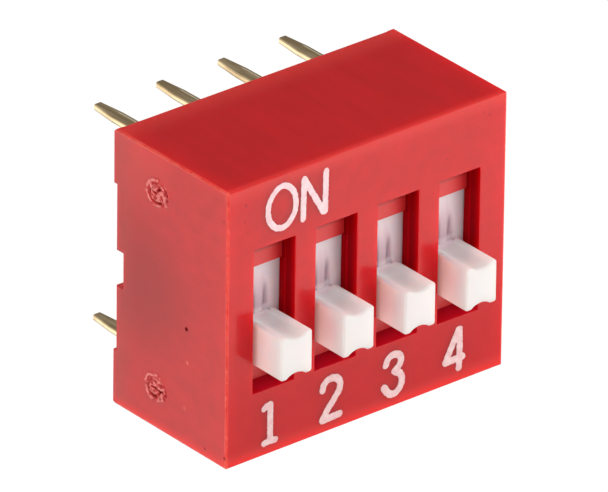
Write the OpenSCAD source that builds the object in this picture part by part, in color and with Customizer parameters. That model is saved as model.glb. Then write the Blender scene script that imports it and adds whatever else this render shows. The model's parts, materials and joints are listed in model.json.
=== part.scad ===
// Slide DIP switch with raised actuators.
// X runs along the row of positions, +Y is the ON side, +Z points away from the board.
// The origin is the centre of the seating plane, where the cover's corner feet meet the board.
// Every actuator is drawn in its OFF position and slides along +Y to ON.

/* [Positions] */
// Number of switch positions
positions = 4; // [2:1:8]
// Distance between neighbouring positions
pitch = 2.54; // [2.54:0.02:2.8]
// Distance between the two rows of pins
row_spacing = 7.62; // [7.6:0.01:7.7]

/* [Cover] */
// Width of the cover across the pin rows
cover_width = 9.9; // [9.8:0.05:10.2]
// Height of the cover's face above the board
cover_height = 5.76; // [5.7:0.02:6.0]
// Plastic beyond the centre of the first and last positions
cover_end = 1.915; // [1.86:0.005:2.2]
// Radius on the outer edges
edge_r = 0.07; // [0.04:0.01:0.1]
// Height of the corner feet
foot_h = 0.15; // [0.1:0.01:0.2]
// Thickness of the lower side walls, round the base
skirt_wall = 0.5; // [0.4:0.02:0.5]
// Thickness of the upper side walls, beside the actuators
side_wall = 0.85; // [0.8:0.01:0.9]

/* [Slots in the face] */
// Width of a slot
slot_w = 1.68; // [1.5:0.02:1.8]
// OFF end of a slot
slot_off_y = -2.58; // [-2.7:0.02:-2.4]
// ON end of a slot
slot_on_y = 2.56; // [2.4:0.02:2.7]
// Depth of the ledge at the ON end
ledge_on_depth = 0.66; // [0.6:0.01:0.7]
// Depth of the ledge at the OFF end, where it meets the end wall
ledge_off_depth = 0.80; // [0.76:0.01:0.85]
// How much lower the OFF ledge is at its inner edge
ledge_off_drop = 0.2; // [0:0.01:0.22]
// Depth of the guide pads on the slot's side walls
pad_depth = 0.475; // [0.4:0.005:0.55]
// How far the guide pads stand out of the walls
pad_t = 0.04; // [0.01:0.01:0.06]

/* [Actuators] */
// Width of a knob along the row
knob_w = 1.27; // [1.1:0.01:1.4]
// Length of a knob along its travel
knob_l = 1.52; // [1.3:0.02:1.6]
// How far a knob stands above the face
knob_up = 1.17; // [0.5:0.01:1.5]
// Radius of the finger groove in each end of a knob
groove_r = 0.64; // [0.6:0.01:0.8]
// Depth of the finger groove
groove_d = 0.14; // [0.08:0.01:0.18]
// Travel from OFF to ON
travel = 1.7; // [1.5:0.05:1.7]
// Centre of a knob in its OFF position
knob_off_y = -0.96; // [-1.0:0.02:-0.9]
// Radius on a knob's upright edges
knob_edge_r = 0.1; // [0.03:0.01:0.12]
// Thickness of the wings that close the slot
wing_t = 0.4; // [0.3:0.02:0.5]
// Reach of the wings from the middle of the knob
wing_reach = 2.85; // [2.75:0.05:2.95]

/* [Terminals and contacts] */
// Width of a pin
pin_w = 0.5; // [0.45:0.01:0.6]
// Thickness of the terminal metal
pin_t = 0.22; // [0.18:0.01:0.26]
// Length of a pin below the board plane
pin_l = 3.22; // [3:0.02:3.6]
// Width of a pin's tip
tip_w = 0.3; // [0.2:0.01:0.4]
// Length of the taper at a pin's tip
tip_l = 1.0; // [0.5:0.05:1.2]
// Thickness of the moving contact's strip
strip_t = 0.12; // [0.1:0.01:0.14]

/* [Hidden] */
$fn = 48;
eps = 0.01;

// Levels above the board plane
base_z = 0.25;
base_top = 1.90;
flange_top = 2.98;
bridge_top = 3.20;
face_z = cover_height;
on_plate_z = face_z - 0.755;
off_plate_z = face_z - 1.15;

// Cover, inside and out: ribs part the channels that the actuators run in
half_row = (positions - 1) * pitch / 2;
cover_len = 2 * (half_row + cover_end);
rib_t = 0.5;
rib_lift = 0.1;
channel_w = pitch - rib_t;
inner_x = half_row + channel_w / 2;
inner_y = cover_width / 2 - side_wall;
skirt_x = cover_len / 2 - skirt_wall;
skirt_y = cover_width / 2 - skirt_wall;
foot_x = 0.3;
foot_y = 1.95;
foot_chamfer = 0.12;
notch_w = 1.26;
notch_h = 0.49;

// Gaps and stops
slide_gap = 0.025;
stop_gap = 0.04;
side_gap = 0.05;
base_gap = 0.025;
flange_gap = 0.02;
stake_gap = 0.02;
stop_off_y = knob_off_y - knob_l / 2 - stop_gap;
stop_on_y = knob_off_y + knob_l / 2 + travel + stop_gap;
pad_end = 0.04;

// Stakes: long dimples punched in the end walls, whose plastic bulges into the base's flanges
stake_y = 3.5;
stake_z = 2.27;
stake_r = 0.38;
stake_stretch = 0.11;
stake_depth = 0.12;
stake_bulge_r = 0.36;
stake_bulge = 0.15;

// Terminals: where their pads end and how they bend
pin_y = row_spacing / 2;
pad_w = 1.2;
pad_outer_y = 3.3;
pad_on_y = 1.2;
pad_off_y = 0.2;
bend_in = 0.08;
bend_out = bend_in + pin_t;
mould_hole_r = 0.35;
mould_hole_on_y = 2.3;
mould_hole_off_y = 1.9;
pocket_gap = 0.25;
pocket_depth = 0.1;

// Moving contact: two curled feet on sprung legs under a flat bridge
contact_w = 1.2;
contact_slit = 0.2;
bridge_y = 0.5;
foot_at_y = 1.2;
curl_r = 0.19;
curl_up = 130;
slit_stop = 0.15;
contact_gap = 0.02;

// Fillet where a knob's ON end stands on its wing, from the bottom of the finger groove outwards
root_r = 0.24;
root_out = 0.1;

// Relief grooves in the ON wing, which start at the knob and run out
relief_x = 0.27;
relief_r = 0.13;
relief_d = 0.1;
relief_l = 1.2;

// Actuator's block above the contact, and the rivet under it
block_y = 0.7;
rivet_r = 0.18;
rivet_root = 0.1;
rivet_head_r = 0.3;
rivet_head_t = 0.1;
rivet_hole_r = 0.2;

index = [for (i = [1:positions]) i];

function position_x(i) = (i - 1) * pitch - half_row;

// Rectangle centred on the origin with rounded corners
module rounded_rect(w, h, r) {
    square([w - 2 * r, h], center = true);
    square([w, h - 2 * r], center = true);
    for (sx = [-1, 1], sy = [-1, 1])
        translate([sx * (w / 2 - r), sy * (h / 2 - r)]) circle(r);
}

// Rectangle that stands on the X axis with its two upper corners rounded
module round_topped(w, h, r) {
    translate([-w / 2, 0]) square([w, h - r]);
    translate([-w / 2 + r, 0]) square([w - 2 * r, h]);
    for (s = [-1, 1]) translate([s * (w / 2 - r), h - r]) circle(r);
}

// Sets a profile drawn in Y and Z along the X axis, centred
module along_x(length) {
    rotate([90, 0, 90]) translate([0, 0, -length / 2]) linear_extrude(length) children();
}

// Sets a profile drawn in X and Z along the Y axis, centred
module along_y(length) {
    rotate([90, 0, 0]) translate([0, 0, -length / 2]) linear_extrude(length) children();
}

// End wall's outline: rounded top, feet at both corners and a notch between them
module end_outline() {
    difference() {
        round_topped(cover_width, cover_height, edge_r);
        translate([-cover_width / 2 + foot_y, -eps])
            square([cover_width - 2 * foot_y, foot_h + eps]);
        translate([-notch_w / 2, -eps]) square([notch_w, notch_h + eps]);
        for (s = [-1, 1]) scale([s, 1])
            polygon([
                [cover_width / 2 - foot_chamfer, -eps],
                [cover_width / 2 + eps, -eps],
                [cover_width / 2 + eps, foot_chamfer],
                [cover_width / 2, foot_chamfer],
                [cover_width / 2 - foot_chamfer, 0]
            ]);
    }
}

// Side wall's outline: rounded top and short feet at the ends
module side_outline() {
    difference() {
        round_topped(cover_len, cover_height, edge_r);
        translate([-cover_len / 2 + foot_x, -eps])
            square([cover_len - 2 * foot_x, foot_h + eps]);
    }
}

module cover_block() {
    intersection() {
        linear_extrude(cover_height) rounded_rect(cover_len, cover_width, edge_r);
        along_x(cover_len) end_outline();
        along_y(cover_width) side_outline();
    }
}

// Room for one actuator under the face; the face is thicker beyond the OFF stop
module channel() {
    translate([-channel_w / 2, -inner_y, base_top])
        cube([channel_w, 2 * inner_y, off_plate_z - base_top]);
    translate([-channel_w / 2, stop_off_y, base_top])
        cube([channel_w, inner_y - stop_off_y, on_plate_z - base_top]);
}

// Room above the sloping OFF ledge, in Y and Z, from the slot's end as far as end_y
module off_ledge_outline(end_y) {
    slope = ledge_off_drop / (stop_off_y - slot_off_y);
    polygon([
        [slot_off_y, 0],
        [end_y, -slope * (end_y - slot_off_y)],
        [end_y, ledge_off_depth],
        [slot_off_y, ledge_off_depth]
    ]);
}

// Stepped slot: a wide mouth, a ledge at each end and a through opening between guide pads
module slot() {
    opening_w = slot_w - 2 * pad_t;
    translate([-slot_w / 2, slot_off_y, face_z - pad_depth])
        cube([slot_w, slot_on_y - slot_off_y, pad_depth + eps]);
    translate([-slot_w / 2, stop_on_y + pad_end, face_z - ledge_on_depth])
        cube([slot_w, slot_on_y - stop_on_y - pad_end, ledge_on_depth]);
    translate([0, 0, face_z - ledge_off_depth]) {
        along_x(slot_w) off_ledge_outline(stop_off_y - pad_end);
        along_x(opening_w) off_ledge_outline(stop_off_y + eps);
    }
    translate([-opening_w / 2, stop_on_y - eps, face_z - ledge_on_depth])
        cube([opening_w, pad_end + 2 * eps, ledge_on_depth]);
    translate([-opening_w / 2, stop_off_y, on_plate_z - eps])
        cube([opening_w, stop_on_y - stop_off_y, face_z - on_plate_z]);
}

// Places children at the four stakes, turned so that their +Z points into the cover
module at_stakes(x) {
    for (sx = [-1, 1], sy = [-1, 1])
        translate([sx * x, sy * stake_y, stake_z]) rotate([0, -90 * sx, 0]) children();
}

// Outline of a stake's dimple: two round ends along the height of the wall
module stake_outline() {
    square([2 * stake_stretch, 2 * stake_r], center = true);
    for (s = [-1, 1]) translate([s * stake_stretch, 0]) circle(stake_r);
}

module cover() color("firebrick") {
    difference() {
        cover_block();
        translate([-skirt_x, -skirt_y, -eps])
            cube([2 * skirt_x, 2 * skirt_y, base_top + eps]);
        translate([-skirt_x, -inner_y, base_top - eps])
            cube([2 * skirt_x, 2 * inner_y, rib_lift + eps]);
        for (s = [-1, 1])
            translate([s * (inner_x + skirt_x) / 2, 0, (base_top + flange_top) / 2])
                cube([
                    skirt_x - inner_x,
                    2 * inner_y,
                    flange_top - base_top + 2 * flange_gap
                ], center = true);
        for (i = index) translate([position_x(i), 0, 0]) {
            channel();
            slot();
        }
        at_stakes(cover_len / 2 + eps) linear_extrude(stake_depth + eps) stake_outline();
    }
    at_stakes(skirt_x + eps) cylinder(h = stake_bulge + eps, r = stake_bulge_r);
}

// Moulded floor with an upright flange at each end, which the stakes bite into
module base() color("brown") {
    slab_x = skirt_x - base_gap;
    slab_y = skirt_y - base_gap;
    difference() {
        union() {
            translate([-slab_x, -slab_y, base_z])
                cube([2 * slab_x, 2 * slab_y, base_top - base_z]);
            for (s = [-1, 1])
                translate([s * (inner_x + slab_x) / 2, 0, (base_top + flange_top) / 2 - eps])
                    cube([
                        slab_x - inner_x,
                        2 * (inner_y - side_gap),
                        flange_top - base_top + 2 * eps
                    ], center = true);
        }
        at_stakes(slab_x + eps)
            cylinder(h = stake_bulge + eps + stake_gap, r = stake_bulge_r + stake_gap);
        for (i = index) translate([position_x(i), 0, 0]) {
            terminal_blank(1, pad_on_y);
            terminal_blank(-1, pad_off_y);
            translate([0, mould_hole_on_y, base_z - eps])
                cylinder(h = base_top - pin_t - base_z + eps, r = mould_hole_r);
            translate([0, -mould_hole_off_y, base_z - eps])
                cylinder(h = base_top - pin_t - base_z + eps, r = mould_hole_r);
            for (s = [-1, 1])
                translate([0, s * pin_y, base_z])
                    cube([
                        pin_w + 2 * pocket_gap,
                        pin_t + 2 * pocket_gap,
                        2 * pocket_depth
                    ], center = true);
        }
    }
}

// Stamped terminal: a flat pin, a bend and a wide pad that lies in the base's top
module terminal_blank(side, pad_end_y) {
    scale([1, side, 1]) {
        translate([-pad_w / 2, pad_end_y, base_top - pin_t])
            cube([pad_w, pad_outer_y - pad_end_y, pin_t]);
        intersection() {
            along_x(pin_w) bent_strip();
            along_y(2 * cover_width) pin_outline();
        }
    }
}

// Section of the terminal through its bend, in Y and Z
module bent_strip() {
    bend_y = pin_y + pin_t / 2 - bend_out;
    bend_z = base_top - bend_out;
    translate([pad_outer_y - eps, base_top - pin_t])
        square([bend_y - pad_outer_y + eps, pin_t]);
    translate([pin_y - pin_t / 2, -pin_l]) square([pin_t, bend_z + pin_l]);
    translate([bend_y, bend_z]) intersection() {
        difference() {
            circle(bend_out);
            circle(bend_in);
        }
        square(bend_out);
    }
}

// Pin's outline seen along Y: straight sides that narrow towards the tip
module pin_outline() {
    polygon([
        [-tip_w / 2, -pin_l],
        [tip_w / 2, -pin_l],
        [pin_w / 2, tip_l - pin_l],
        [pin_w / 2, base_top],
        [-pin_w / 2, base_top],
        [-pin_w / 2, tip_l - pin_l]
    ]);
}

module terminal_on(i) color("gold") translate([position_x(i), 0, 0]) terminal_blank(1, pad_on_y);

module terminal_off(i) color("gold") translate([position_x(i), 0, 0]) terminal_blank(-1, pad_off_y);

// Plan of the knob, with a finger groove in each end
module knob_plan() {
    difference() {
        rounded_rect(knob_w, knob_l, knob_edge_r);
        for (s = [-1, 1])
            translate([0, s * (knob_l / 2 + groove_r - groove_d)]) circle(groove_r);
    }
}

// Hollow fillet in Y and Z that stands on a wing's top, outwards from the knob's middle
module root_outline() {
    difference() {
        translate([knob_l / 2 + root_out - root_r, -eps]) square([root_r, root_r + eps]);
        translate([knob_l / 2 + root_out, root_r]) circle(root_r);
    }
}

// Actuator: knob, a high wing on the ON side, a low wing on the OFF side, a block and a rivet
module slider(i) color("white") translate([position_x(i), knob_off_y, 0]) {
    body_w = channel_w - 2 * side_gap;
    high_z = on_plate_z - slide_gap;
    low_z = off_plate_z - slide_gap;
    translate([0, 0, high_z - wing_t])
        linear_extrude(face_z + knob_up - high_z + wing_t) knob_plan();
    difference() {
        union() {
            translate([-body_w / 2, -knob_l / 2, high_z - wing_t])
                cube([body_w, knob_l / 2 + wing_reach, wing_t]);
            translate([0, 0, high_z]) along_x(knob_w - 2 * knob_edge_r) root_outline();
        }
        for (s = [-1, 1])
            translate([s * relief_x, knob_l / 2, high_z - relief_d + relief_r])
                rotate([atan2(relief_d, relief_l) - 90, 0, 0])
                    cylinder(h = 2 * relief_l, r = relief_r);
    }
    translate([-body_w / 2, -wing_reach, low_z - wing_t])
        cube([body_w, wing_reach + block_y, wing_t]);
    translate([-body_w / 2, -block_y, bridge_top])
        cube([body_w, 2 * block_y, high_z - wing_t / 2 - bridge_top]);
    translate([0, 0, bridge_top - strip_t - rivet_head_t]) {
        cylinder(h = rivet_head_t + strip_t + rivet_root, r = rivet_r);
        cylinder(h = rivet_head_t, r = rivet_head_r);
    }
}

// Part of a ring of the strip's thickness, from angle a0 to a1
module strip_arc(r, a0, a1) {
    far = 2 * r;
    intersection() {
        difference() {
            circle(r + strip_t / 2);
            circle(r - strip_t / 2);
        }
        polygon([
            [0, 0],
            far * [cos(a0), sin(a0)],
            far * [cos((a0 + a1) / 2), sin((a0 + a1) / 2)] * 1.5,
            far * [cos(a1), sin(a1)]
        ]);
    }
}

// One sprung leg in Y and Z, from the bridge's end down to its curled foot
module leg_outline() {
    top = [bridge_y, bridge_top - strip_t / 2 - curl_r];
    foot = [foot_at_y, base_top + contact_gap + strip_t / 2 + curl_r];
    run = foot - top;
    lean = atan2(-run[1], run[0]) + asin(2 * curl_r / norm(run));
    length = sqrt(norm(run) ^ 2 - 4 * curl_r ^ 2);
    across = curl_r * [sin(lean), cos(lean)];
    translate(top) strip_arc(curl_r, 90 - lean, 90);
    translate(top + across) rotate(-lean)
        translate([-eps, -strip_t / 2]) square([length + 2 * eps, strip_t]);
    translate(foot) strip_arc(curl_r, 270 - lean, 270 - lean + curl_up);
}

// Moving contact: a bowed strip with split legs that bridges the two terminals when ON
module contact(i) color("gold") translate([position_x(i), knob_off_y, 0]) {
    difference() {
        along_x(contact_w) {
            translate([-bridge_y - eps, bridge_top - strip_t])
                square([2 * (bridge_y + eps), strip_t]);
            for (s = [-1, 1]) scale([s, 1]) leg_outline();
        }
        translate([0, 0, bridge_top - strip_t - eps])
            cylinder(h = strip_t + 2 * eps, r = rivet_hole_r);
        for (s = [-1, 1])
            translate([-contact_slit / 2, s * bridge_y + (s - 1) / 2 * foot_at_y, base_top])
                cube([contact_slit, foot_at_y, bridge_top - base_top - strip_t - slit_stop]);
    }
}

cover();
base();
for (i = index) {
    slider(i);
    contact(i);
    terminal_on(i);
    terminal_off(i);
}
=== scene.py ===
"""Finishes, print, stake marks and studio for a four-position DIP switch with raised actuators."""
import json
from math import cos, exp, hypot, pi, radians, sin

import bmesh
import bpy
from mathutils import Matrix, Vector, noise

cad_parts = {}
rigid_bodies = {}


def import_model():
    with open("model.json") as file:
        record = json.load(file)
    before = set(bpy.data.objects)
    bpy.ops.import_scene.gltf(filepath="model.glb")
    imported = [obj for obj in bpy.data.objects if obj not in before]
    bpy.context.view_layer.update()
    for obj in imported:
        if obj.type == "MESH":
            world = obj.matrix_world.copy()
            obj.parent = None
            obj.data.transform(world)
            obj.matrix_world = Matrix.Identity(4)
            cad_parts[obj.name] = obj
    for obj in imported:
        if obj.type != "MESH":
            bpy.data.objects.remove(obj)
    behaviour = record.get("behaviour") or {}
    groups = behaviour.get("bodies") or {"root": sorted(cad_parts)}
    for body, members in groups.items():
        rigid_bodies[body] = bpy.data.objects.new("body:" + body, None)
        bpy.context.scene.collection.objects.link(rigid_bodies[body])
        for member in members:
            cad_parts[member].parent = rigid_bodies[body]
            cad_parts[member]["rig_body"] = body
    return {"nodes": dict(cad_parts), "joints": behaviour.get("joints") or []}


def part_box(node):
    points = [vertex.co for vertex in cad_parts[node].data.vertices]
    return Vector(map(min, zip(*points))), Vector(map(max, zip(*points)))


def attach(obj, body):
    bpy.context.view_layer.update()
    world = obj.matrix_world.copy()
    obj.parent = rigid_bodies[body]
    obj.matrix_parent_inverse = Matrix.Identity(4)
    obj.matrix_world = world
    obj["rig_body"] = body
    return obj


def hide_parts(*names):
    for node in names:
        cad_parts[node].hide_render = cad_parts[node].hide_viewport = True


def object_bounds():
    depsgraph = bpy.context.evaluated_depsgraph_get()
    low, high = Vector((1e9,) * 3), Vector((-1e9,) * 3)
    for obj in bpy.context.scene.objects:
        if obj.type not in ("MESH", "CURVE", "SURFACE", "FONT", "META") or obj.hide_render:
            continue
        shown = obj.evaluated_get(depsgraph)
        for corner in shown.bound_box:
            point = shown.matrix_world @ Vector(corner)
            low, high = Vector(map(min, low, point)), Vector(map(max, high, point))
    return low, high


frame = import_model()
cad_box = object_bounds()
mm = 0.001


# Base
# One red nylon moulding that closes the switch from below. It was shot round the eight
# terminals, and the plastic staked into its two end flanges locks it to the cover.


class Wire:
    """A value in a material. Arithmetic on wires adds Math nodes."""

    def __init__(self, tree, socket=None):
        self.tree = tree
        self.socket = socket

    def node(self, kind, settings=None, sockets=None, out=0):
        made = self.tree.nodes.new("ShaderNode" + kind)
        for name, value in (settings or {}).items():
            setattr(made, name, value)
        for name, value in (sockets or {}).items():
            if isinstance(value, Wire):
                self.tree.links.new(value.socket, made.inputs[name])
            else:
                made.inputs[name].default_value = value
        return Wire(self.tree, made.outputs[out] if made.outputs else None)

    def maths(self, operation, *values):
        return self.node("Math", {"operation": operation}, dict(enumerate(values)))

    def __add__(self, other):
        return self.maths("ADD", self, other)

    def __radd__(self, other):
        return self.maths("ADD", other, self)

    def __sub__(self, other):
        return self.maths("SUBTRACT", self, other)

    def __rsub__(self, other):
        return self.maths("SUBTRACT", other, self)

    def __mul__(self, other):
        return self.maths("MULTIPLY", self, other)

    def __rmul__(self, other):
        return self.maths("MULTIPLY", other, self)


def finish(name):
    """A new empty material, and a wire to build its nodes from"""
    made = bpy.data.materials.new(name)
    made.use_nodes = True
    made.node_tree.nodes.clear()
    return made, Wire(made.node_tree)


def millimetres(wire, stretch=(1, 1, 1)):
    """Place on the object in millimetres, with each axis stretched"""
    at = wire.node("TexCoord", out="Object")
    scale = Vector(stretch) / mm
    return wire.node("Mapping", sockets={"Vector": at, "Scale": scale})


def grain(at, scale, detail=2.0, roughness=0.5):
    """Noise that has scale features to the millimetre"""
    return at.node(
        "TexNoise",
        sockets={"Vector": at, "Scale": scale, "Detail": detail, "Roughness": roughness},
    )


def ramp(value, low, high, to_low=0.0, to_high=1.0):
    """Smooth rise of a value between low and high"""
    return value.node(
        "MapRange",
        {"interpolation_type": "SMOOTHSTEP"},
        {
            "Value": value,
            "From Min": low,
            "From Max": high,
            "To Min": to_low,
            "To Max": to_high,
        },
    )


def tint(mask, first, second):
    """First colour where the mask is 0, second where it is 1"""
    return mask.node(
        "Mix", {"data_type": "RGBA"}, {0: mask, 6: first, 7: second}, out=2
    )


def near(at, point, low, high):
    """Mask round a point in millimetres: 1 within low, 0 beyond high"""
    gap = at.node("VectorMath", {"operation": "DISTANCE"}, {0: at, 1: point}, out="Value")
    return ramp(gap, low, high, 1.0, 0.0)


def axis(at, n):
    """Place along one axis, in millimetres"""
    return at.node("SeparateXYZ", sockets={"Vector": at}, out=n)


def red_nylon(name, deep, bright, rough=0.15, gloss=0.21, translucent=1.0, marks_and_light=None):
    """Moulded red nylon: cloudy pigment, flow lines up the walls and fine grain. The function
    given last, called with (at, colour, height), may mark the colour and the height and paint
    light and shade into the colour. It also gives the mask where a dark matte paints the shade
    in pits and tears, and how far the nylon covers what is under it."""
    made, wire = finish(name)
    at = millimetres(wire)
    cloud = grain(at, 0.42, 3.0)
    flow = grain(millimetres(wire, (1, 1, 0.2)), 1.9, 3.0)
    fine = grain(at, 7.0, 3.0)
    colour = tint(0.5 + 0.7 * (cloud - 0.5) + 1.3 * (flow - 0.5), deep, bright)
    dull = rough + 0.05 * (fine - 0.5) + 0.08 * (flow - 0.5)
    height = 0.25 * fine + 0.5 * flow
    painted_hole_shade = 0.0
    cover = 1.0
    if marks_and_light:
        colour, height, painted_hole_shade, cover = marks_and_light(at, colour, height)
    bumps = wire.node("Bump", sockets={"Height": height, "Distance": 0.003 * mm})
    solid = wire.node(
        "BsdfPrincipled",
        sockets={
            "Base Color": colour,
            "Roughness": dull,
            "IOR": 1.55,
            "Specular IOR Level": gloss,
            "Subsurface Weight": translucent,
            "Subsurface Radius": (1.0, 0.03, 0.03),
            "Subsurface Scale": 1.3 * mm,
            "Alpha": cover,
            "Normal": bumps,
        },
    )
    # Painted shade: a dark matte mixed in where pits and tears are, standing for the shade inside
    # them
    hole_shade = wire.node("BsdfDiffuse", sockets={"Color": (0.15, 0.0, 0.004, 1)})
    shader = wire.node("MixShader", sockets={0: painted_hole_shade, 1: solid, 2: hole_shade})
    wire.node("OutputMaterial", sockets={"Surface": shader})
    return made


def trimmed(node, piece, material, radius, rounded):
    """A merged copy of a CAD node. The sharp outer edges that rounded(middle, edge) picks get a
    radius, in millimetres as the middle is."""
    bm = bmesh.new()
    bm.from_mesh(frame["nodes"][node].data)
    bmesh.ops.remove_doubles(bm, verts=bm.verts, dist=0.002 * mm)
    bmesh.ops.dissolve_limit(bm, angle_limit=radians(1), verts=bm.verts, edges=bm.edges)
    chosen = []
    for edge in bm.edges:
        middle = (edge.verts[0].co + edge.verts[1].co) / (2 * mm)
        if edge.calc_face_angle_signed(0) > radians(35) and rounded(middle, edge):
            chosen.append(edge)
    bmesh.ops.bevel(
        bm,
        geom=chosen,
        offset=radius * mm,
        offset_type="OFFSET",
        segments=3,
        profile=0.5,
        affect="EDGES",
        material=-1,
        loop_slide=True,
    )
    mesh = bpy.data.meshes.new(piece)
    bm.to_mesh(mesh)
    bm.free()
    made = bpy.data.objects.new(piece, mesh)
    bpy.context.scene.collection.objects.link(made)
    mesh.materials.append(material)
    mesh.shade_smooth()
    mesh.set_sharp_from_angle(angle=radians(33))
    even = made.modifiers.new("even_shading", "WEIGHTED_NORMAL")
    even.keep_sharp = True
    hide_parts(node)
    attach(made, frame["nodes"][node]["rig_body"])
    return made


base_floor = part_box("base")[0].z / mm
base_side = 4.2
trimmed(
    "base",
    "moulded_base",
    red_nylon("base_nylon", (0.6, 0.002, 0.0075, 1), (0.72, 0.003, 0.009, 1), rough=0.3),
    0.05,
    lambda middle, edge: middle.z < base_floor + 0.01 and abs(middle.y) > base_side,
)


# Terminals
# Eight flat pins stamped from brass strip and flash-plated with gold. Their long edges are
# coined round, each one tapers to its tip, and the sheared tip stays square.

positions = len(frame["joints"])
pitch = 2.54
pin_tip = cad_box[0].z / mm
shoulder = pin_tip + 1.0
coined_to = 0.4
# How far from each pin's middle the ridge with its painted highlight runs
highlight_x = 0.14


def gilt(name, bright, dull, edge_highlight=0.0):
    """Thin gold plate over drawn strip: fine streaks along it and duller patches. With the last
    argument above 0 a strip also has a low ridge beside one long edge, from its shoulder up,
    with a painted highlight along it."""
    made, wire = finish(name)
    at = millimetres(wire)
    streak = grain(millimetres(wire, (1, 1, 0.05)), 6.0, 4.0)
    patch = grain(at, 1.6, 3.0)
    colour = tint(ramp(0.3 * patch + 0.7 * streak, 0.38, 0.62), bright, dull)
    across = at.maths("WRAP", axis(at, 0) - pitch / 2, pitch / 2, -pitch / 2)
    beside_edge = ramp(at.maths("ABSOLUTE", across - highlight_x), 0.01, 0.045, 1.0, 0.0)
    ridge = edge_highlight * beside_edge * ramp(axis(at, 2), shoulder - 0.28, shoulder + 0.02)
    # Painted highlight: the ridge is tinted pale gold
    colour = tint(ridge, colour, (1.0, 0.88, 0.66, 1))
    height = streak + 9.0 * ridge
    bumps = wire.node("Bump", sockets={"Height": height, "Distance": 0.002 * mm})
    shader = wire.node(
        "BsdfPrincipled",
        sockets={
            "Base Color": colour,
            "Metallic": 1.0,
            "Roughness": 0.2 + 0.14 * patch,
            "Normal": bumps,
        },
    )
    wire.node("OutputMaterial", sockets={"Surface": shader})
    return made


# The pins get the ridge with its painted highlight
pin_gold = gilt("pin_gold", (0.76, 0.59, 0.38, 1), (0.47, 0.34, 0.19, 1), edge_highlight=1.0)
for row in ("on", "off"):
    for n in range(1, positions + 1):
        trimmed(
            f"terminal_{row}_{n}",
            f"pin_{row}_{n}",
            pin_gold,
            0.05,
            lambda middle, edge: pin_tip + 0.01 < middle.z < coined_to,
        )


# Moving contacts
# One sprung strip under each actuator, gold-plated copper alloy, curled at both feet and
# riveted to the actuator's block. They stay as the frame has them.

contact_gold = gilt("contact_gold", (0.9, 0.7, 0.36, 1), (0.78, 0.6, 0.3, 1))
for n in range(1, positions + 1):
    strip = frame["nodes"][f"contact_{n}"]
    strip.data.materials.clear()
    strip.data.materials.append(contact_gold)


# Actuators
# Four white nylon mouldings, each a knob with a finger groove in both ends on a flat wing
# that closes its slot. The nylon is slightly translucent and satin, with soft edges.

relief_x = 0.27
knob_y = -0.96
knob_half_l = 0.76
knob_half_w = 0.64
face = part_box("cover")[1].z / mm
above_wing = face - 0.6


def white_nylon(name):
    """Satin white nylon, lit deep inside the knob through its translucency. Emission paints a red
    glow up the knob's sides and ends by its slot's mouth and a faint white glow at its root. The
    wing is painted as a pinker, darker copy of the white: painted shade near the knob and along
    the two relief grooves that run out from it, painted light toward the next slot's wall, and a
    random drawn grain"""
    made, wire = finish(name)
    at = millimetres(wire)
    cloud = grain(at, 0.9, 3.0)
    fine = grain(at, 12.0, 3.0)
    drawn = grain(millimetres(wire, (1, 0.12, 1)), 7.0, 3.0)
    across = at.maths("WRAP", axis(at, 0) - pitch / 2, pitch / 2, -pitch / 2)
    along_wing = axis(at, 1)
    on_front = ramp(at.maths("ABSOLUTE", along_wing - knob_y), knob_half_l - 0.1, knob_half_l)
    root = ramp(along_wing, -0.16, 0.06)
    # Painted shade on the wing near the knob
    from_knob = ramp(along_wing, 0.3, 1.4, 1.0, 0.0) * root
    off_centre = at.maths("ABSOLUTE", across)
    off_groove = at.maths("ABSOLUTE", off_centre - relief_x + 0.02)
    # Painted shade along each relief groove
    streak = ramp(off_groove, 0.0, 0.17, 1.0, 0.0) * ramp(along_wing, 0.4, 1.0, 1.0, 0.0) * root
    # Painted light on the wing toward its slot's wall on the +X side, where that wall shades it
    lighter_toward_next = ramp(across, 0.15, 0.5, 0.0, 0.4)
    shade = 0.42 * from_knob + 0.58 * streak + 0.35 * (drawn - 0.5) - lighter_toward_next
    # The wing's colours are a pinker, shaded copy of the white nylon
    wing = tint(shade, (0.98, 0.82, 0.915, 1), (0.42, 0.26, 0.35, 1))
    up = axis(at, 2)
    on_wing = ramp(up, face - 0.72, face - 0.55, 1.0, 0.0)
    on_side = ramp(off_centre, knob_half_w - 0.14, knob_half_w)
    # Painted glow, by emission: red up the knob's sides near the slot's mouth, fainter on its
    # ends, and white low at the wing's root
    mouth_glow = ramp(up, face - 0.4, face - 0.1) * ramp(up, face - 0.1, face + 1.2, 1.0, 0.0)
    front_glow = on_front * ramp(up, face - 0.2, face + 0.2)
    root_glow = ramp(up, face - 0.8, face - 0.7) * ramp(up, face - 0.4, face + 0.1, 0.07, 0.0)
    glow = tint(on_side * mouth_glow, (0, 0, 0, 1), (0.29, 0.095, 0.07, 1))
    glow = tint(root_glow, tint(front_glow, glow, (0.07, 0.02, 0.035, 1)), (1, 1, 1, 1))
    knob = tint(cloud, (0.78, 0.77, 0.82, 1), (0.83, 0.81, 0.86, 1))
    bumps = wire.node("Bump", sockets={"Height": 0.3 * fine + cloud, "Distance": 0.002 * mm})
    satin = {
        "Base Color": tint(on_wing, knob, wing),
        "Roughness": 0.3 + 0.14 * fine,
        "IOR": 1.53,
        "Subsurface Weight": 1.0,
        "Subsurface Radius": (1.0, 0.72, 0.64),
        "Emission Color": glow,
        "Emission Strength": 1.0,
        "Normal": bumps,
    }
    shallow = wire.node("BsdfPrincipled", sockets=satin | {"Subsurface Scale": 0.12 * mm})
    deep = wire.node("BsdfPrincipled", sockets=satin | {"Subsurface Scale": 1.8 * mm})
    in_knob = ramp(up, face - 0.3, face + 0.6)
    shader = wire.node("MixShader", sockets={0: in_knob, 1: shallow, 2: deep})
    wire.node("OutputMaterial", sockets={"Surface": shader})
    return made


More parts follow.
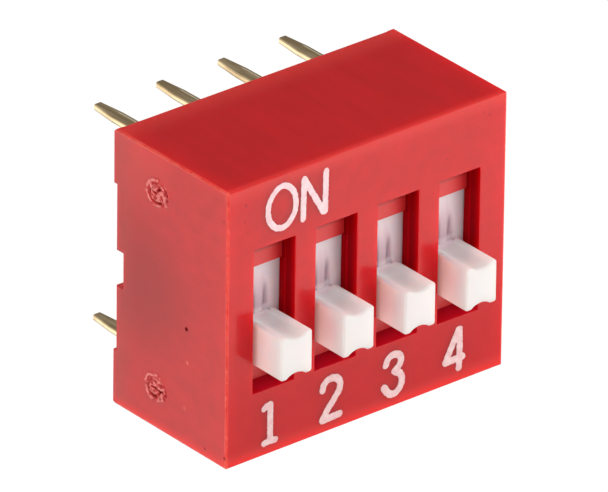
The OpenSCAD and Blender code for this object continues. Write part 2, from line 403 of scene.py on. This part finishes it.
actuator_nylon = white_nylon("actuator_nylon")
for n in range(1, positions + 1):
    trimmed(
        f"slider_{n}",
        f"actuator_white_{n}",
        actuator_nylon,
        0.08,
        lambda middle, edge: middle.z > above_wing,
    )


# Cover
# One red nylon moulding, open underneath, with a stepped slot for each actuator. It was
# moulded with small radii, sharp slot mouths, short corner feet and a notch in each end.

end_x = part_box("cover")[1].x / mm
end_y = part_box("cover")[1].y / mm
# Reds for the cover's marks, and for its painted light and shade
face_shade_red = (0.47, 0.001, 0.006, 1)
dark_red = (0.41, 0.001, 0.006, 1)
dusty_red = (0.42, 0.03, 0.03, 1)
off_glow_red = (0.9, 0.004, 0.004, 1)
haze_and_glow_red = (0.76, 0.05, 0.045, 1)
pale_red_and_highlight = (0.95, 0.16, 0.12, 1)
# Patches on each end: a broad darker patch low in its middle, haze by the ON-side foot, and two
# pale specks
end_patches = []
for side in (-1, 1):
    end_patches += [
        ((side * end_x, 0.0, 1.4), 0.4, 3.6, 0.95, dark_red),
        ((side * end_x, 4.8, 0.6), 0.3, 3.0, 0.4, haze_and_glow_red),
        ((side * end_x, -1.92, 3.78), 0.03, 0.1, 0.4, pale_red_and_highlight),
        ((side * end_x, -3.61, 3.65), 0.02, 0.12, 0.2, pale_red_and_highlight),
    ]
# Pits, with no hollow in the mesh: each gets a dark matte as painted shade
pits = [
    ((-end_x, -0.73, 3.73), 0.1, 1.0),
    ((-end_x, -4.63, 4.7), 0.065, 0.7),
    ((-end_x, -4.56, 5.68), 0.07, 0.8),
    ((-end_x, 3.87, 5.55), 0.06, 0.5),
    ((-5.0, 4.29, face), 0.085, 0.35),
    ((-5.04, 3.73, face), 0.065, 0.25),
    ((-4.91, 3.3, face), 0.065, 0.2),
    ((5.0, 4.35, face), 0.065, 0.35),
    ((4.75, 4.5, face), 0.055, 0.3),
    ((3.25, 3.3, face), 0.055, 0.3),
]


def cover_marks_and_light(at, colour, height):
    """Blooms and patches on the ends, haze by the feet, painted shade toward the face's OFF end,
    painted glow along the face's edges, pits darkened as painted shade, and a painted highlight
    round the ends' edges, with nicks
    """
    painted_hole_shade = 0.0
    up = axis(at, 2)
    out = at.maths("ABSOLUTE", axis(at, 0))
    on_end = ramp(out, end_x - 0.06, end_x - 0.01)
    bloom = ramp(grain(at, 1.7, 5.0), 0.42, 0.65, 0.0, 0.22)
    colour = tint(on_end * bloom, colour, dark_red)
    for point, low, high, much, shade in end_patches:
        colour = tint(near(at, point, low, high) * on_end * much, colour, shade)
    colour = tint(ramp(up, 0.1, 1.3, 0.6, 0.0), colour, tint(on_end, haze_and_glow_red, dusty_red))
    on_face = ramp(up, face - 0.3, face - 0.03)
    # Painted shade: the face darker toward its OFF end
    colour = tint(on_face * ramp(axis(at, 1), -4.5, 4.0, 0.42, 0.0), colour, face_shade_red)
    off_middle = at.maths("ABSOLUTE", axis(at, 1))
    # Painted glow: the face paler near both long edges
    colour = tint(on_face * ramp(off_middle, end_y - 0.6, end_y, 0.0, 0.45), colour, haze_and_glow_red)
    # Painted glow: the face and the ends a brighter red along the OFF side
    glow_by_off = (on_end + on_face) * ramp(axis(at, 1), -end_y, 0.4 - end_y, 0.8, 0.0)
    colour = tint(glow_by_off, colour, off_glow_red)
    # Painted shade in the pits
    for point, radius, much in pits:
        painted_hole_shade = painted_hole_shade + much * near(at, point, 0.5 * radius, radius)
    by_end = ramp(out, end_x - 0.1, end_x - 0.03)
    by_side = ramp(off_middle, end_y - 0.13, end_y - 0.03)
    by_face = ramp(up, face - 0.1, face - 0.04)
    # Painted highlight: a pale line round the ends' edges, broken by noise, with nicks in the edge
    # by the face
    rubbed_highlight = by_end * (by_face + by_side) * ramp(grain(at, 3.0, 4.0), 0.3, 0.6, 0.5, 1.0)
    nick = by_end * by_face * ramp(grain(at, 5.0, 2.0), 0.58, 0.68)
    return tint(0.6 * rubbed_highlight + 0.35 * nick, colour, pale_red_and_highlight), height + 2.0 * nick, painted_hole_shade, 1.0


cover_nylon = red_nylon(
    "cover_nylon", (0.57, 0.002, 0.0075, 1), (0.68, 0.003, 0.009, 1), marks_and_light=cover_marks_and_light
)
above_notch = 0.55
below_ledges = face - 0.9


def softened(middle, edge):
    """The face's rim, the walls' lower outer edges and feet, and the ledges' level edges"""
    outermost = abs(middle.x) > end_x - 0.05 or abs(middle.y) > end_y - 0.05
    is_level = abs(edge.verts[0].co.z - edge.verts[1].co.z) < 1e-6
    on_rim = middle.z > face - 0.003
    on_feet = middle.z < above_notch and edge.calc_length() > 0.1 * mm and outermost
    on_ledge = middle.z > below_ledges and is_level
    return on_rim or on_feet or on_ledge


cover = trimmed("cover", "cover_moulding", cover_nylon, 0.035, softened)


pad_depth = 0.475
slot_off_y = -2.58
slots_x = 4.7
slots_y = 2.62
ledge_y = 1.5
ledge_foot_y = 2.14
slot_floor = face - 1.2


def slot_shade(at, colour, height):
    """Painted shade in the slots: the side walls are painted darkest above the guide pads, whose
    tops get a painted highlight, and the OFF end walls are painted a paler, duller red as light"""
    up = axis(at, 2)
    off_end = ramp(axis(at, 1), slot_off_y + 0.03, slot_off_y + 0.13, 1.0, 0.0)
    # Painted shade on the side walls between the face and the pads
    from_face = ramp(up, face - 0.3, face - 0.02, 1.0, 0.3)
    from_pads = ramp(up, face - pad_depth - 0.075, face - pad_depth + 0.015, 0.5, 1.0)
    colour = tint(0.7 * from_face * from_pads, colour, (0.24, 0.0, 0.003, 1))
    # Painted highlight along the pads' tops
    pad_highlight = ramp(at.maths("ABSOLUTE", up - (face - pad_depth)), 0.01, 0.03, 1.0, 0.0)
    colour = tint(pad_highlight, colour, (0.58, 0.004, 0.016, 1))
    # Painted light: the OFF end walls a paler, duller red
    return tint(off_end, colour, (0.56, 0.006, 0.024, 1)), height, 0.0, 1.0


def ledge_shade(at, colour, height):
    """Painted shade on the ledges toward the foot of the slots' ON walls"""
    foot = ramp(axis(at, 1), ledge_foot_y - 0.14, ledge_foot_y)
    return tint(0.7 * foot, colour, (0.3, 0.0, 0.004, 1)), height, 0.0, 1.0


# The ledges are too thin to glow, and are painted a paler, brighter red than the face, as painted
# light; the slots' walls are painted a duller, deeper red than the face, as painted shade
cover.data.materials.append(
    red_nylon(
        "cover_ledge_nylon_lit",
        (0.77, 0.024, 0.03, 1),
        (0.85, 0.028, 0.035, 1),
        rough=0.45,
        gloss=0.5,
        translucent=0.0,
        marks_and_light=ledge_shade,
    )
)
cover.data.materials.append(
    red_nylon(
        "cover_slot_nylon_shaded",
        (0.48, 0.001, 0.006, 1),
        (0.54, 0.001, 0.007, 1),
        rough=0.5,
        gloss=0.02,
        marks_and_light=slot_shade,
    )
)
# Level faces of the ledges take the painted-light red, the other faces in the slots the
# painted-shade red
for plate in cover.data.polygons:
    at = plate.center / mm
    if slot_floor < at.z < face - 0.02 and abs(at.x) < slots_x and abs(at.y) < slots_y:
        plate.material_index = 1 if plate.normal.z > 0.5 and abs(at.y) > ledge_y else 2


# Stake marks
# Where a hot punch crushed the end walls into the base's flanges: a long ring torn round a
# crumpled middle, with burrs thrown up outside it. One at each corner of both ends.

stake_y = 3.5
stake_z = 2.27
stake_radius = 0.38
stake_stretch = 0.11
stake_patch = 0.7
stake_squash = 0.84
tallest_burr = 0.07
upper_tears = [
    (-0.07, 0.045, [
        (-0.46, 0.1), (-0.45, -0.1), (-0.37, -0.24), (-0.22, -0.33), (-0.05, -0.35), (0.1, -0.3),
    ]),
    (-0.04, 0.045, [(-0.3, 0.28), (-0.17, 0.34), (-0.02, 0.34)]),
    (-0.07, 0.035, [(0.33, 0.26), (0.35, 0.14), (0.42, 0.07)]),
    (-0.08, 0.04, [(0.46, -0.04), (0.47, -0.14)]),
    (-0.08, 0.04, [(-0.26, 0.01), (-0.14, -0.01)]),
    (-0.08, 0.04, [(-0.03, 0.1), (0.06, 0.2)]),
    (-0.06, 0.04, [(0.14, -0.02), (0.2, -0.03)]),
    (-0.06, 0.035, [(-0.18, -0.21), (-0.13, -0.2)]),
    (0.06, 0.06, [(-0.56, 0.0), (-0.54, 0.16), (-0.45, 0.31), (-0.3, 0.41), (-0.05, 0.47)]),
    (0.04, 0.06, [(-0.55, -0.08), (-0.48, -0.26), (-0.38, -0.35)]),
    (0.05, 0.045, [(-0.22, -0.42), (-0.1, -0.44), (0.08, -0.39)]),
    (0.06, 0.04, [(0.14, 0.12), (0.17, 0.04)]),
    (0.06, 0.04, [(0.0, -0.22), (0.02, -0.14)]),
    (0.06, 0.045, [(0.22, -0.24), (0.38, -0.29), (0.53, -0.25)]),
    (0.05, 0.045, [(0.3, 0.0), (0.4, 0.03), (0.46, 0.0)]),
    (0.04, 0.03, [(0.32, 0.4), (0.38, 0.34)]),
]
lower_tears = [
    (-0.06, 0.045, [(-0.3, 0.33), (-0.42, 0.22), (-0.46, 0.0), (-0.4, -0.18), (-0.3, -0.27)]),
    (-0.08, 0.05, [(-0.3, -0.27), (-0.2, -0.31), (-0.1, -0.3)]),
    (-0.07, 0.045, [(0.4, 0.25), (0.46, 0.16), (0.47, 0.0), (0.42, -0.14)]),
    (-0.1, 0.035, [(-0.27, 0.0), (-0.02, 0.02), (0.13, -0.02), (0.28, -0.02)]),
    (-0.08, 0.035, [(0.21, 0.0), (0.13, -0.1), (0.09, -0.18)]),
    (-0.06, 0.035, [(-0.08, 0.25), (-0.05, 0.23)]),
    (-0.06, 0.035, [(0.11, 0.2), (0.21, 0.14)]),
    (0.05, 0.065, [(-0.57, 0.13), (-0.46, 0.36), (-0.16, 0.47), (0.1, 0.45)]),
    (0.06, 0.06, [(-0.53, -0.05), (-0.46, -0.26), (-0.34, -0.39), (-0.2, -0.39)]),
    (0.02, 0.08, [(-0.42, -0.52), (-0.38, -0.58)]),
    (0.05, 0.045, [(0.32, 0.15), (0.25, 0.06)]),
    (0.03, 0.04, [(0.0, -0.42), (0.2, -0.36), (0.32, -0.26)]),
]


def stroke_share(point, width, points):
    """1 on a line through the points, falling away over width"""
    gap = 9.0
    for start, end in zip(points, points[1:]):
        start, end = Vector(start), Vector(end)
        along = end - start
        share = max(0.0, min(1.0, (point - start).dot(along) / along.length_squared))
        gap = min(gap, (point - start - share * along).length)
    return exp(-((gap / width) ** 2))


def stake_mark(piece, side, row, tears, material):
    """Thin relief of torn plastic over one dimple. A tear has a height, a width and its line;
    those with a height below 0 are gashes, and those above 0 burrs. side and row are 1 or -1."""
    bm = bmesh.new()
    first = bm.verts.new((0, 0, 0))
    last = bm.verts.new((stake_patch, 0, 0))
    spoke = bm.edges.new((first, last))
    bmesh.ops.subdivide_edges(bm, edges=[spoke], cuts=55)
    bmesh.ops.spin(
        bm,
        geom=bm.verts[:] + bm.edges[:],
        cent=(0, 0, 0),
        axis=(0, 0, 1),
        angle=2 * pi,
        steps=144,
        use_merge=True,
    )
    bmesh.ops.remove_doubles(bm, verts=bm.verts, dist=1e-4)
    seed = Vector((side * 3.1, row * 7.7, 1.3))
    for vert in bm.verts:
        vert.co.y *= stake_squash
        flat = Vector((vert.co.x, vert.co.y))
        from_middle = hypot(max(abs(flat.x) - stake_stretch, 0.0), flat.y)
        inside = max(0.0, min(1.0, (stake_radius - from_middle) / 0.04))
        torn = noise.fractal(vert.co * 7 + seed, 0.6, 2.0, 5)
        shift = Vector((noise.noise(vert.co * 9 + seed), noise.noise(vert.co * 9 - seed)))
        bent = flat + 0.03 * shift
        worked = 0.0
        for lift, width, points in tears:
            share = stroke_share(bent, width, points)
            worked += lift * share * (1 + (1.6 if lift > 0 else 0.6) * torn)
        outside = 0.003 + max(0.0, worked)
        inner = worked + 0.05 * torn + 0.024
        from_rim = stake_patch - hypot(flat.x, flat.y / stake_squash)
        fade = max(0.0, min(1.0, from_rim / 0.1))
        height = fade * (inside * inner + (1 - inside) * outside)
        if height > 0:
            height = tallest_burr * (1 - exp(-height / tallest_burr))
        vert.co.z = height
        if fade < 0.05:
            vert.co.z = -0.01
    bmesh.ops.recalc_face_normals(bm, faces=bm.faces)
    if sum(f.normal.z for f in bm.faces) < 0:
        bmesh.ops.reverse_faces(bm, faces=bm.faces)
    # x of the flat patch becomes +Z, y stays +Y, and its height points out of the wall
    turned = Matrix(
        (
            (0, 0, side, side * end_x),
            (0, 1, 0, row * stake_y),
            (1, 0, 0, stake_z),
            (0, 0, 0, 1),
        )
    )
    bmesh.ops.transform(bm, matrix=Matrix.Scale(mm, 4) @ turned, verts=bm.verts)
    if turned.determinant() < 0:
        bmesh.ops.reverse_faces(bm, faces=bm.faces)
    mesh = bpy.data.meshes.new(piece)
    bm.to_mesh(mesh)
    bm.free()
    mesh.shade_smooth()
    mesh.materials.append(material)
    made = bpy.data.objects.new(piece, mesh)
    bpy.context.scene.collection.objects.link(made)
    made.visible_shadow = False
    made.visible_diffuse = False
    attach(made, "housing")


def torn_marks_and_shade(at, colour, height):
    """Painted shade down in the tears, by a dark matte, stress-whitened on the burrs, and thin
    where neither is left
    """
    out = at.maths("ABSOLUTE", axis(at, 0)) - end_x
    burr = ramp(out, 0.006, 0.036, 0.0, 0.85)
    # Painted shade: a dark matte down in the tears
    painted_hole_shade = ramp(out, -0.045, -0.01, 0.95, 0.0)
    worked = ramp(at.maths("ABSOLUTE", out - 0.003), 0.001, 0.008)
    return tint(burr, colour, (0.98, 0.27, 0.265, 1)), height, painted_hole_shade, worked


torn_nylon = red_nylon(
    "torn_nylon",
    (0.56, 0.048, 0.05, 1),
    (0.66, 0.06, 0.062, 1),
    rough=0.2,
    translucent=0.0,
    marks_and_light=torn_marks_and_shade,
)
for side, end in ((-1, "first_end"), (1, "last_end")):
    stake_mark(f"stake_mark_{end}_on", side, 1, upper_tears, torn_nylon)
    stake_mark(f"stake_mark_{end}_off", side, -1, lower_tears, torn_nylon)


# Print
# ON and the position numbers, pad-printed on the face in white ink: round-ended strokes a
# little uneven in width, with the red just showing through.

pen = 0.108
digit_pen = 0.13
glyphs = {
    "letter_O": [
        (pen, True, [
            (-3.54, 4.52), (-3.2, 4.36), (-2.98, 3.88), (-3.09, 3.32),
            (-3.52, 3.04), (-3.93, 3.26), (-4.1, 3.78), (-3.93, 4.28),
        ]),
    ],
    "letter_N": [
        (pen * 1.06, False, [(-2.67, 3.07), (-2.64, 4.47)]),
        (pen * 1.04, False, [(-2.62, 4.45), (-1.84, 3.08)]),
        (pen * 1.06, False, [(-1.77, 3.07), (-1.745, 4.48)]),
    ],
    "digit_1": [
        (digit_pen * 0.9, False, [(-4.17, -3.25), (-4.05, -3.18), (-3.93, -3.17)]),
        (digit_pen * 0.92, False, [(-3.92, -3.18), (-3.925, -4.45)]),
        (digit_pen * 0.9, False, [(-4.16, -4.51), (-3.93, -4.49), (-3.71, -4.51)]),
    ],
    "digit_2": [
        (digit_pen, False, [
            (-1.77, -3.4), (-1.7, -3.18), (-1.42, -3.06), (-1.12, -3.2),
            (-1.06, -3.48), (-1.26, -3.8), (-1.56, -4.15), (-1.77, -4.47),
        ]),
        (digit_pen, False, [(-1.76, -4.49), (-1.07, -4.46)]),
    ],
    "digit_3": [
        (digit_pen, False, [
            (0.84, -3.35), (0.93, -3.16), (1.18, -3.06), (1.43, -3.2),
            (1.45, -3.44), (1.2, -3.67),
        ]),
        (digit_pen, False, [
            (1.2, -3.67), (1.44, -3.84), (1.51, -4.12), (1.38, -4.4),
            (1.14, -4.49), (0.92, -4.37), (0.78, -4.15),
        ]),
    ],
    "digit_4": [
        (digit_pen, False, [(3.86, -3.05), (3.33, -4.08)]),
        (digit_pen, False, [(3.34, -4.1), (4.03, -4.08)]),
        (digit_pen * 0.96, False, [(3.91, -3.05), (3.92, -3.7), (3.9, -4.44)]),
    ],
}


def white_ink(name, thin, full):
    """White ink, where the red shows through more or less"""
    made, wire = finish(name)
    at = millimetres(wire)
    patchy = grain(at, 4.5, 4.0)
    colour = tint(ramp(patchy, 0.3, 0.7), thin, full)
    bumps = wire.node("Bump", sockets={"Height": patchy, "Distance": 0.004 * mm})
    shader = wire.node(
        "BsdfPrincipled",
        sockets={"Base Color": colour, "Roughness": 0.42 + 0.1 * patchy, "Normal": bumps},
    )
    wire.node("OutputMaterial", sockets={"Surface": shader})
    return made


def applied(made):
    """Mesh of an object with its modifiers applied; the object is removed"""
    scene_state = bpy.context.evaluated_depsgraph_get()
    mesh = bpy.data.meshes.new_from_object(made.evaluated_get(scene_state))
    bpy.data.objects.remove(made)
    return mesh


def printed(piece, strokes, ink):
    """One printed sign: round strokes joined in one shell, flattened to the ink's thickness. A
    stroke has a radius, whether it closes, and the points of its curve."""
    bm = bmesh.new()
    for radius, closed, points in strokes:
        curve = bpy.data.curves.new(piece, "CURVE")
        curve.dimensions = "3D"
        curve.bevel_depth = radius
        curve.bevel_resolution = 4
        curve.resolution_u = 10
        curve.use_fill_caps = True
        line = curve.splines.new("BEZIER")
        line.use_cyclic_u = closed
        line.bezier_points.add(len(points) - 1)
        for knot, (x, y) in zip(line.bezier_points, points):
            knot.co = (x, y, 0)
            knot.handle_left_type = knot.handle_right_type = "AUTO"
        drawn = bpy.data.objects.new(piece, curve)
        bpy.context.scene.collection.objects.link(drawn)
        bm.from_mesh(applied(drawn))
        if not closed:
            for x, y in (points[0], points[-1]):
                bmesh.ops.create_icosphere(
                    bm, subdivisions=3, radius=radius, matrix=Matrix.Translation((x, y, 0))
                )
    joined = bpy.data.meshes.new(piece)
    bm.to_mesh(joined)
    bm.free()
    solid = bpy.data.objects.new(piece, joined)
    bpy.context.scene.collection.objects.link(solid)
    remesh = solid.modifiers.new("one_shell", "REMESH")
    remesh.mode = "VOXEL"
    remesh.voxel_size = 0.018
    mesh = applied(solid)
    ink_top = 0.014
    ink_bottom = -0.004
    for vert in mesh.vertices:
        edge = Vector((noise.noise(vert.co * 10), noise.noise(vert.co * 10 + Vector((9, 4, 2)))))
        height = ink_top if vert.co.z > 0 else ink_bottom
        share = min(1.0, abs(vert.co.z) / digit_pen) ** 0.4
        vert.co.x += 0.018 * edge.x
        vert.co.y += 0.018 * edge.y
        vert.co.z = face + height * share
    mesh.transform(Matrix.Scale(mm, 4))
    mesh.materials.clear()
    mesh.materials.append(ink)
    mesh.shade_smooth()
    made = bpy.data.objects.new(piece, mesh)
    bpy.context.scene.collection.objects.link(made)
    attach(made, "housing")


letter_ink = white_ink("letter_ink", (0.93, 0.6, 0.67, 1), (0.97, 0.75, 0.83, 1))
digit_ink = white_ink("digit_ink", (0.79, 0.45, 0.49, 1), (0.86, 0.62, 0.65, 1))
for piece, strokes in glyphs.items():
    printed(f"print_{piece}", strokes, letter_ink if "letter" in piece else digit_ink)


# Studio
# A white floor under the pins, and a pale surround with soft bright patches round the switch.
# A panel faces the cover's face, and the camera looks over the ON side and the first end.

scene = bpy.context.scene
bpy.ops.mesh.primitive_plane_add(size=0.8, location=(0, 0, cad_box[0].z))
floor = bpy.context.object
floor.name = "floor"
paper, wire = finish("floor_paper")
matte = wire.node("BsdfDiffuse", sockets={"Color": (0.8, 0.8, 0.8, 1)})
white = wire.node("Emission", sockets={"Color": (1, 1, 1, 1), "Strength": 1.06})
seen = wire.node("MixShader", sockets={0: 0.93, 1: matte, 2: white})
camera_ray = wire.node("LightPath", out="Is Camera Ray")
from_below = wire.node("NewGeometry", out="Backfacing")
clear = wire.node("BsdfTransparent")
shown = wire.node("MixShader", sockets={0: camera_ray * (1 - from_below), 1: clear, 2: seen})
wire.node("OutputMaterial", sockets={"Surface": shown})
floor.data.materials.append(paper)

surround = bpy.data.worlds.new("surround")
surround.use_nodes = True
surround.node_tree.nodes.clear()
scene.world = surround
sky = Wire(surround.node_tree)
towards = sky.node("TexCoord", out="Generated")


def patch_of_sky(direction, low, high):
    """Soft round patch of the surround: 0 where the cosine to the direction is low, 1 at high"""
    cosine = sky.node(
        "VectorMath", {"operation": "DOT_PRODUCT"}, {0: towards, 1: direction}, out="Value"
    )
    return ramp(cosine, low, high)


# Where the face, and then the wall of the first end, mirror the surround to the camera
face_mirror = (0.564, -0.467, 0.681)
end_mirror = (-0.564, -0.467, -0.681)
level = 0.3 + 1.05 * patch_of_sky(face_mirror, 0.75, 0.96)
level = level + 0.2 * patch_of_sky((-0.66, -0.5, -0.56), 0.3, 0.92)
level = level + 1.4 * patch_of_sky(end_mirror, 0.9, 0.98)
# Over the ON side and straight over the face, then a dim patch behind the camera
level = level + 0.85 * patch_of_sky((0.35, 0.87, 0.35), 0.4, 0.95)
level = level + 0.15 * patch_of_sky((0.1, 0.1, 0.99), 0.6, 0.98)
level = level * (1 - 0.4 * patch_of_sky((-0.56, 0.47, 0.68), 0.6, 0.92))
# Beside the first end, and under it for the pins
level = level + 1.7 * patch_of_sky((-0.96, -0.15, 0.24), 0.76, 0.97)
level = level + 0.4 * patch_of_sky((-0.5, 0.6, -0.62), 0.75, 0.97)
is_camera = sky.node("LightPath", out="Is Camera Ray")
strength = is_camera + (1 - is_camera) * level
tone = tint(is_camera, (1, 0.98, 0.91, 1), (1, 1, 1, 1))
glow = sky.node("Background", sockets={"Color": tone, "Strength": strength})
sky.node("OutputWorld", sockets={"Surface": glow})

# A soft panel over the face, whose lower edge shows as a soft line across it
panel_size = 60 * mm
panel_distance = 60
panel_aim = Vector((0, 34.4, face))
panel_facing = Vector(face_mirror).normalized()
panel_up = Vector((0, panel_facing.z, -panel_facing.y)).normalized()
panel_right = panel_up.cross(panel_facing)
panel_place = (panel_aim + panel_distance * panel_facing) * mm
panel_light = bpy.data.lights.new("soft_panel", "AREA")
panel_light.size = panel_size
panel_light.energy = 1.2 * pi * panel_size**2
panel_light.color = (1, 0.98, 0.91)
panel = bpy.data.objects.new("soft_panel", panel_light)
panel.matrix_world = Matrix(
    (
        (panel_right.x, panel_up.x, panel_facing.x, panel_place.x),
        (panel_right.y, panel_up.y, panel_facing.y, panel_place.y),
        (panel_right.z, panel_up.z, panel_facing.z, panel_place.z),
        (0, 0, 0, 1),
    )
)
panel.visible_camera = False
scene.collection.objects.link(panel)

view_turn = radians(-39.64)
view_lift = radians(27.82)
view_roll = radians(0.726)
view_distance = 424.73 * mm
aim = Vector((0.98, -0.885, 1.418)) * mm
back = Vector((cos(view_lift) * sin(view_turn), sin(view_lift), cos(view_lift) * cos(view_turn)))
level_right = Vector((0, 1, 0)).cross(back).normalized()
level_up = back.cross(level_right)
right = cos(view_roll) * level_right + sin(view_roll) * level_up
up = back.cross(right)
place = aim + back * view_distance
lens = bpy.data.cameras.new("camera")
lens.lens = 783.45
lens.sensor_width = 36
camera = bpy.data.objects.new("camera", lens)
scene.collection.objects.link(camera)
camera.matrix_world = Matrix(
    (
        (right.x, up.x, back.x, place.x),
        (right.y, up.y, back.y, place.y),
        (right.z, up.z, back.z, place.z),
        (0, 0, 0, 1),
    )
)
scene.camera = camera
scene.view_settings.view_transform = "Standard"
